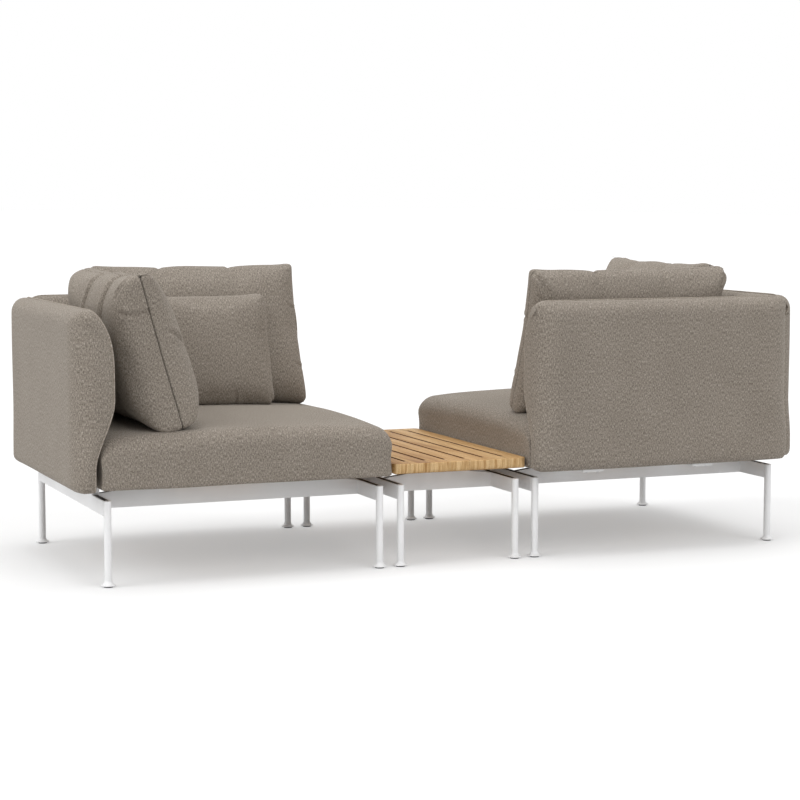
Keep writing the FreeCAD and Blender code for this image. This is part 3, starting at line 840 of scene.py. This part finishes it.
def shifted(tree_, place, number):
    """Coordinates moved by another amount for each board."""
    shift = node(tree_, "ShaderNodeCombineXYZ")
    tree_.links.new(math_node(tree_, "MULTIPLY", number, 3.7), shift.inputs[1])
    tree_.links.new(math_node(tree_, "MULTIPLY", number, 1.3), shift.inputs[2])
    moved = node(tree_, "ShaderNodeVectorMath", operation="ADD")
    tree_.links.new(place, moved.inputs[0])
    tree_.links.new(shift.outputs[0], moved.inputs[1])
    return moved.outputs[0]


def teak(name, shade=1.0):
    """Sanded teak with its grain along Y, end grain on the ends and painted shade on the sides
    inside the slots.
    """
    made, tree_, shader = material(name)
    source = node(tree_, "ShaderNodeTexCoord")
    place = source.outputs["Object"]
    board = split(tree_, place)
    facing = split(tree_, source.outputs["Normal"])
    middle = math_node(tree_, "ADD", board[0], SLAT_PITCH / 2)
    number = math_node(tree_, "FLOOR", math_node(tree_, "DIVIDE", middle, SLAT_PITCH))
    wood = shifted(tree_, place, number)
    broad = stretched(tree_, wood, (34, 2.2, 34), Detail=4.0, Roughness=0.6, Distortion=0.6)
    fine = stretched(tree_, wood, (420, 9, 420), Detail=3.0, Roughness=0.7)
    pores = stretched(tree_, wood, (900, 40, 900), Detail=1.0)
    each = node(tree_, "ShaderNodeTexWhiteNoise", noise_dimensions="1D")
    tree_.links.new(number, each.inputs["W"])
    own = math_node(tree_, "SUBTRACT", each.outputs["Value"], 0.5)
    tone = weighted(tree_, (broad, 0.62), (fine, 0.38), (own, 0.10))
    streaks = stretched(tree_, place, (150, 1, 12), Detail=4.0, Roughness=0.65, Distortion=0.3)
    ends = math_node(tree_, "GREATER_THAN", math_node(tree_, "ABSOLUTE", facing[1]), 0.6)
    tone = mix(tree_, "FLOAT", ends, tone, math_node(tree_, "ADD", streaks, 0.09))
    stops = [(0.30, (0.20, 0.085, 0.022)), (0.44, (0.40, 0.216, 0.074)),
             (0.56, (0.55, 0.340, 0.145)), (0.72, (0.73, 0.51, 0.265))]
    open_ = toned(tree_, pores, [(0.30, (0.55, 0.45, 0.36)), (0.40, (1, 1, 1))])
    grain = mix(tree_, "RGBA", 0.55, toned(tree_, tone, stops, shade), open_,
                blend_type="MULTIPLY")
    # Painted shade: the steep sides inside the slots get a near-black brown for the shade that
    # falls in them.
    steep = math_node(tree_, "GREATER_THAN", math_node(tree_, "ABSOLUTE", facing[0]), 0.8)
    inside = math_node(tree_, "LESS_THAN", math_node(tree_, "ABSOLUTE", board[0]), 0.18)
    slot_wall_shade = math_node(tree_, "MULTIPLY", steep, inside)
    tree_.links.new(mix(tree_, "RGBA", slot_wall_shade, grain, (0.15, 0.062, 0.022, 1)),
                    shader.inputs["Base Color"])
    height = math_node(tree_, "ADD", fine, math_node(tree_, "MULTIPLY", pores, 0.5))
    bumped(tree_, shader, height, 0.25, 0.0005)
    tree_.links.new(between(tree_, fine, 0.48, 0.66), shader.inputs["Roughness"])
    shader.inputs["Specular IOR Level"].default_value = 0.3
    return made


def dress(obj, made):
    """Gives a piece its one material."""
    obj.data.materials.clear()
    obj.data.materials.append(made)


def repaint(name, made):
    """Gives a CAD node its material."""
    obj = frame["nodes"][name]
    if not obj.material_slots:
        obj.data.materials.append(made)
    for holder in obj.material_slots:
        holder.material = made


FABRIC = woven("taupe_weave")
# Painted highlight: the welts get the same weave made lighter, for the light line along their
# ridge.
WELT_HIGHLIGHT_CLOTH = woven("welt_weave_painted_highlight", 1.35)
WHITE = coated("white_coat", (0.93, 0.93, 0.935))
DARK = coated("dark_strip", (0.018, 0.018, 0.020), 0.5)
GLIDE = coated("dark_glide", (0.022, 0.022, 0.024), 0.55)
TEAK = teak("teak")
TEAK_SPACER = teak("teak_spacer", 0.97)
PLYWOOD = teak("plywood", 0.85)
STEEL = coated("stainless", (0.56, 0.56, 0.57), 0.28, 1.0)
BARE = coated("mill_aluminium", (0.62, 0.62, 0.63), 0.42, 0.9)


# Soft pieces of one seat

def welt(name, host, path):
    """Thin piping along a path laid on a piece's surface."""
    search = tree(host)
    path = [Vector(p) for p in path]
    spacing, proud = 0.012, 0.35
    points = []
    for p, q in zip(path, path[1:]):
        count = max(2, round((q - p).length / spacing))
        points += [p.lerp(q, i / count) for i in range(count)]
    points.append(path[-1])
    curve = bpy.data.curves.new(name, "CURVE")
    curve.dimensions = "3D"
    curve.bevel_depth = WELT
    curve.bevel_resolution = 3
    curve.use_fill_caps = True
    spline = curve.splines.new("NURBS")
    spline.points.add(len(points) - 1)
    for target, point in zip(spline.points, points):
        spot, normal = search.find_nearest(point)[:2]
        target.co = (*(spot + normal * WELT * proud), 1)
    spline.order_u = 4
    spline.use_endpoint_u = True
    obj = bpy.data.objects.new(name, curve)
    bpy.context.scene.collection.objects.link(obj)
    mesh = bpy.data.meshes.new_from_object(obj)
    bpy.data.objects.remove(obj)
    made = bpy.data.objects.new(name, mesh)
    bpy.context.scene.collection.objects.link(made)
    mesh.shade_smooth()
    return made


def welt_path(far, heel):
    """Inner edge of a panel: up the free end, along the ridge, down the corner end."""
    free = PANEL_FREE
    low, high = PANEL_LOW + 0.005, PANEL_TOP - 0.026
    heights = [lerp(low, high, i / 30) for i in range(31)]
    path = [(free - 0.0025, PANEL_FACE - panel_inner(z) + 0.0035, z) for z in heights]
    ridge = PANEL_FACE - 0.046
    path += [(free - 0.009, ridge - 0.018, PANEL_TOP - 0.008),
             (free - 0.034, ridge - 0.004, PANEL_TOP)]
    path += [(lerp(free - 0.07, -far + heel + 0.03, i / 8), ridge, PANEL_TOP + 0.002)
             for i in range(9)]
    path += [(-far + heel * 0.5, ridge - 0.004, PANEL_TOP - 0.006),
             (-far + heel * 0.2, ridge - 0.008, PANEL_TOP - 0.022)]
    return path


def corner_path():
    """Outer edge of the mitre where two panels meet."""
    out = 0.42
    low, high = PANEL_LOW + 0.024, PANEL_TOP - 0.026
    return [(-out, out, lerp(low, high, i / 20)) for i in range(21)]


BACK = {"end": 3.6, "head": 2.6, "cell": 0.0105, "corner": 0.018, "draw": 0.008,
        "dips": (-0.33, 0.355), "dip": 0.0055, "slope": 0.10}
SIDE = {"end": 4.4, "head": 2.7, "cell": 0.0105, "corner": 0.020, "draw": 0.006,
        "dips": (-0.24, 0.42), "dip": 0.008, "slope": 0.16}
SCATTER = {"end": 2.3, "head": 2.3, "cell": 0.0105, "corner": 0.034, "draw": 0.003,
           "dips": (), "dip": 0.0, "slope": 0.03}


def lean(x, y, z, degrees):
    """Place of a cushion that leans back."""
    return Matrix.Translation((x, y, z)) @ Matrix.Rotation(math.radians(-degrees), 4, "X")


def rounded(obj, size, depth, seed):
    """Finer mesh with the unevenness of its stuffing."""
    apply_modifier(obj, "SUBSURF", levels=1, render_levels=1)
    ripple(obj, size, depth, seed)


def rest_on(obj, seat, behind):
    """Sets the foot of a leaning cushion on the seat and its back against what stands behind."""
    settle(obj, seat, CUSHION_FOOT, 0.060)
    push_out(obj, seat, SKIN_GAP)
    push_out(obj, behind, SKIN_GAP)
    return obj


def back_cushion(seat, back_panel):
    """Long loose cushion that leans on the back panel."""
    length = 0.594
    obj = pillow("back_cushion", length, CUSHION_HEIGHT, 0.066, 0.067, BACK)
    stuff(obj, 3.0, 0.010)
    rounded(obj, 0.10, 0.0026, 12)
    crease(obj, [(0.290, 0.262), (0.268, 0.266), (0.250, 0.272)], 0.0030, 0.0050, -1)
    crease(obj, [(0.288, 0.090), (0.262, 0.098), (0.245, 0.110)], 0.0028, 0.0050, -1)
    for x in (-0.098, 0.105):
        crease(obj, [(x, 0.402), (x + 0.002, 0.385), (x + 0.010, 0.350)], 0.0042, 0.0065, 1)
        crease(obj, [(x, 0.400), (x - 0.002, 0.388), (x - 0.006, 0.374)], 0.0020, 0.0060, -1)
    for turn in (-1, 1):
        path = [(turn * x, z) for x, z in ((0.293, 0.400), (0.272, 0.372), (0.256, 0.335))]
        crease(obj, path, 0.0065, 0.0060, 1)
    seam(obj, 0.0030, 0.0026, 0.5)
    move(obj, lean(HALF_SPAN + 0.0035 - length / 2, 0.217, CUSHION_FOOT, 17.8))
    return rest_on(obj, seat, back_panel)


def side_cushion(seat, side_panel, reach):
    """Shorter loose cushion on the side panel, with gathered rolls behind its top edge."""
    free = HALF_SPAN - 0.003
    length = free - reach
    end = length / 2
    obj = pillow("side_cushion", length, CUSHION_HEIGHT, 0.076, 0.096, SIDE)
    stuff(obj, 3.0, 0.010)
    rounded(obj, 0.10, 0.0026, 21)
    for x in (-0.062, 0.108):
        path = [(x, 0.404), (x + 0.004, 0.380), (x + 0.004, 0.330), (x - 0.010, 0.230)]
        crease(obj, path, 0.0115, 0.0100, 1)
        crease(obj, [(x, 0.404), (x, 0.386), (x - 0.006, 0.366)], 0.0035, 0.0060, -1)
    for depth, width, side, path in (
            (0.0060, 0.0060, 1, ((0.012, 0.398), (0.036, 0.372), (0.046, 0.345))),
            (0.0055, 0.0050, 1, ((0.001, 0.305), (0.010, 0.316), (0.045, 0.334))),
            (0.0060, 0.0050, -1, ((0.008, 0.250), (0.035, 0.222), (0.080, 0.182))),
            (0.0030, 0.0055, 1, ((0.002, 0.085), (0.040, 0.070)))):
        crease(obj, [(end - x, z) for x, z in path], depth, width, side)
    seam(obj, 0.0045, 0.0028, 1.0)
    sag = 0.012
    for vertex in obj.data.vertices:
        far_end = smooth((end * 0.4 - vertex.co.x) / (end * 1.4))
        vertex.co.y += sag * far_end * smooth((vertex.co.z - 0.26) / 0.12)
    move(obj, ACROSS @ lean(free - end, 0.1635, CUSHION_FOOT, 15.8))
    return rest_on(obj, seat, side_panel)


def scatter_cushion(seat, back):
    """Small square cushion before the back cushion."""
    length = 0.330
    obj = pillow("scatter_cushion", length, 0.319, 0.051, 0.045, SCATTER)
    stuff(obj, 2.5, 0.008)
    rounded(obj, 0.08, 0.0020, 31)
    crease(obj, [(0.045, 0.003), (0.043, 0.030), (0.038, 0.052)], 0.0030, 0.0050, -1)
    for turn in (-1, 1):
        crease(obj, [(turn * 0.158, 0.302), (turn * 0.136, 0.276)], 0.0030, 0.0055, -1)
        crease(obj, [(turn * 0.158, 0.010), (turn * 0.138, 0.034)], 0.0030, 0.0055, -1)
    seam(obj, -0.0012, 0.0016)
    move(obj, lean(0.245 - length / 2, 0.128, CUSHION_FOOT, 14.5))
    return rest_on(obj, seat, back)


def build_soft():
    """Every soft piece of a seat, about the seat's middle."""
    seat = seat_cushion("seat_cushion")
    ripple(seat, 0.16, 0.0018, 3)
    back_panel = panel("back_panel", BACK_PANEL_END, BACK_PANEL_HEEL)
    side_panel = panel("side_panel", SIDE_PANEL_END, SIDE_PANEL_HEEL)
    back_path = welt_path(BACK_PANEL_END, BACK_PANEL_HEEL)
    side_path = welt_path(SIDE_PANEL_END, SIDE_PANEL_HEEL)
    parts = {"back_panel_welt": welt("back_panel_welt", back_panel, back_path),
             "side_panel_welt": welt("side_panel_welt", side_panel, side_path),
             "corner_welt": welt("corner_welt", back_panel, corner_path())}
    for piece in (side_panel, parts["side_panel_welt"]):
        move(piece, ACROSS)
    for piece, seed in ((back_panel, 5), (side_panel, 9)):
        ripple(piece, 0.24, 0.0014, seed)
        push_out(piece, seat, SKIN_GAP, 0.02)
    back = back_cushion(seat, back_panel)
    side = side_cushion(seat, side_panel, -min(v.co.y for v in back.data.vertices) + 0.001)
    parts.update({"seat_cushion": seat, "back_panel": back_panel, "side_panel": side_panel,
                  "back_cushion": back, "side_cushion": side,
                  "scatter_cushion": scatter_cushion(seat, back)})
    return parts


soft = build_soft()
for side_name, place in PLACES.items():
    for name, piece in soft.items():
        made = double(piece, side_name + "_" + name + "_cover", place)
        body = side_name + "_" + name + "_body"
        if name.endswith("welt"):
            # Painted highlight: welts take the lighter copy of the weave.
            dress(made, WELT_HIGHLIGHT_CLOTH)
            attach(made, "frame")
            continue
        dress(made, FABRIC)
        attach(made, body if body in frame["bodies"] else "frame")
        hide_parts(side_name + "_" + name)
for piece in soft.values():
    bpy.data.objects.remove(piece)


# Rigid pieces: softened edges on the frame and the slats

def soften(name, width, made, segments=2):
    """Copy of a CAD node with its sharp edges eased by a width, standing for it."""
    source = frame["nodes"][name]
    record = frame["record"]
    obj = bpy.data.objects.new(name + "_eased", source.data.copy())
    bpy.context.scene.collection.objects.link(obj)
    bm = bmesh.new()
    bm.from_mesh(obj.data)
    bmesh.ops.remove_doubles(bm, verts=bm.verts, dist=0.00001)
    bmesh.ops.dissolve_limit(bm, angle_limit=0.01, verts=bm.verts, edges=bm.edges)
    sharp = [e for e in bm.edges if len(e.link_faces) == 2 and e.calc_face_angle(0) > 0.6]
    bmesh.ops.bevel(bm, geom=sharp, offset=width, segments=segments, profile=0.5, affect="EDGES",
                    clamp_overlap=True)
    bm.to_mesh(obj.data)
    bm.free()
    obj.data.shade_smooth()
    obj.data.set_sharp_from_angle(angle=0.7)
    dress(obj, made)
    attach(obj, next(b for b, nodes in record["behaviour"]["bodies"].items() if name in nodes))
    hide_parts(name)


for name in list(frame["nodes"]):
    if "leg_" in name:
        soften(name, 0.0016, WHITE, 3)
    elif "rail_" in name and "strips" not in name:
        soften(name, 0.0009, WHITE)
    elif name == "rail_strips":
        soften(name, 0.0005, DARK, 1)
    elif "glide" in name:
        repaint(name, GLIDE)
    elif name == "table_slats":
        soften(name, 0.0007, TEAK)
    elif name == "table_spacers":
        repaint(name, TEAK_SPACER)
    elif "board" in name:
        repaint(name, PLYWOOD)
    elif "screws" in name:
        repaint(name, STEEL)
    elif "battens" in name:
        repaint(name, BARE)
    elif "brackets" in name or "plates" in name:
        soften(name, 0.0008, WHITE)


# Floor, light and camera

SKY = 0.46
FLOOR_GLOW = 0.33


def shown(tree_):
    """1 where the camera sees a surface, also in a reflection or through glass."""
    rays = node(tree_, "ShaderNodeLightPath").outputs
    bent = math_node(tree_, "MAXIMUM", rays["Is Glossy Ray"], rays["Is Transmission Ray"])
    return math_node(tree_, "MAXIMUM", rays["Is Camera Ray"], bent)


def floor():
    """White floor that shows only the bench's soft shadow."""
    wide, near, far = 40, -14, 90
    corners = [(-wide, near, 0), (wide, near, 0), (wide, far, 0), (-wide, far, 0)]
    obj = add_mesh("floor", corners, [(0, 1, 2, 3)])
    made, tree_, shader = material("floor_paint")
    shader.inputs["Roughness"].default_value = 1.0
    shader.inputs["Specular IOR Level"].default_value = 0.0
    seen = shown(tree_)
    paint = toned(tree_, seen, [(0.0, (0.66, 0.66, 0.66)), (1.0, (0.95, 0.95, 0.95))])
    tree_.links.new(paint, shader.inputs["Base Color"])
    glow = node(tree_, "ShaderNodeEmission", Strength=1.0, Color=(1, 1, 1, 1))
    both = node(tree_, "ShaderNodeMixShader")
    tree_.links.new(math_node(tree_, "MULTIPLY", seen, FLOOR_GLOW), both.inputs[0])
    tree_.links.new(shader.outputs[0], both.inputs[1])
    tree_.links.new(glow.outputs[0], both.inputs[2])
    output = next(n for n in tree_.nodes if n.type == "OUTPUT_MATERIAL")
    tree_.links.new(both.outputs[0], output.inputs["Surface"])
    obj.data.materials.append(made)


def sky():
    """Even studio light, white where the camera sees it."""
    world = bpy.data.worlds.new("studio")
    bpy.context.scene.world = world
    world.use_nodes = True
    tree_ = world.node_tree
    background = tree_.nodes["Background"]
    background.inputs["Color"].default_value = (1, 1, 1, 1)
    tree_.links.new(between(tree_, shown(tree_), SKY, 1.0), background.inputs["Strength"])


def sun(name, strength, height, azimuth, softness):
    """Soft sun with its height, azimuth from +X towards +Y and softness in degrees."""
    data = bpy.data.lights.new(name, "SUN")
    data.energy = strength
    data.angle = math.radians(softness)
    obj = bpy.data.objects.new(name, data)
    bpy.context.scene.collection.objects.link(obj)
    up, turn = math.radians(height), math.radians(azimuth)
    way = Vector((math.cos(up) * math.cos(turn), math.cos(up) * math.sin(turn), math.sin(up)))
    obj.rotation_euler = way.to_track_quat("Z", "Y").to_euler()


def camera():
    """Camera at the photograph's viewpoint, with its focal length in picture widths."""
    focal, sensor = 2149.37 / 800, 36
    downward, turned = 0.09785, -0.38831
    data = bpy.data.cameras.new("camera")
    data.sensor_width = sensor
    data.lens = focal * sensor
    obj = bpy.data.objects.new("camera", data)
    bpy.context.scene.collection.objects.link(obj)
    obj.location = (-2.27695, -5.52120, 0.98561)
    obj.rotation_euler = (math.pi / 2 - downward, 0, turned)
    bpy.context.scene.camera = obj


floor()
sky()
sun("key", 0.85, 45, 188, 36)
sun("side", 0.48, 14, 180, 30)
sun("front", 0.80, 34, 290, 40)
sun("top", 1.25, 82, 60, 50)
camera()
bpy.context.scene.view_settings.view_transform = "Standard"
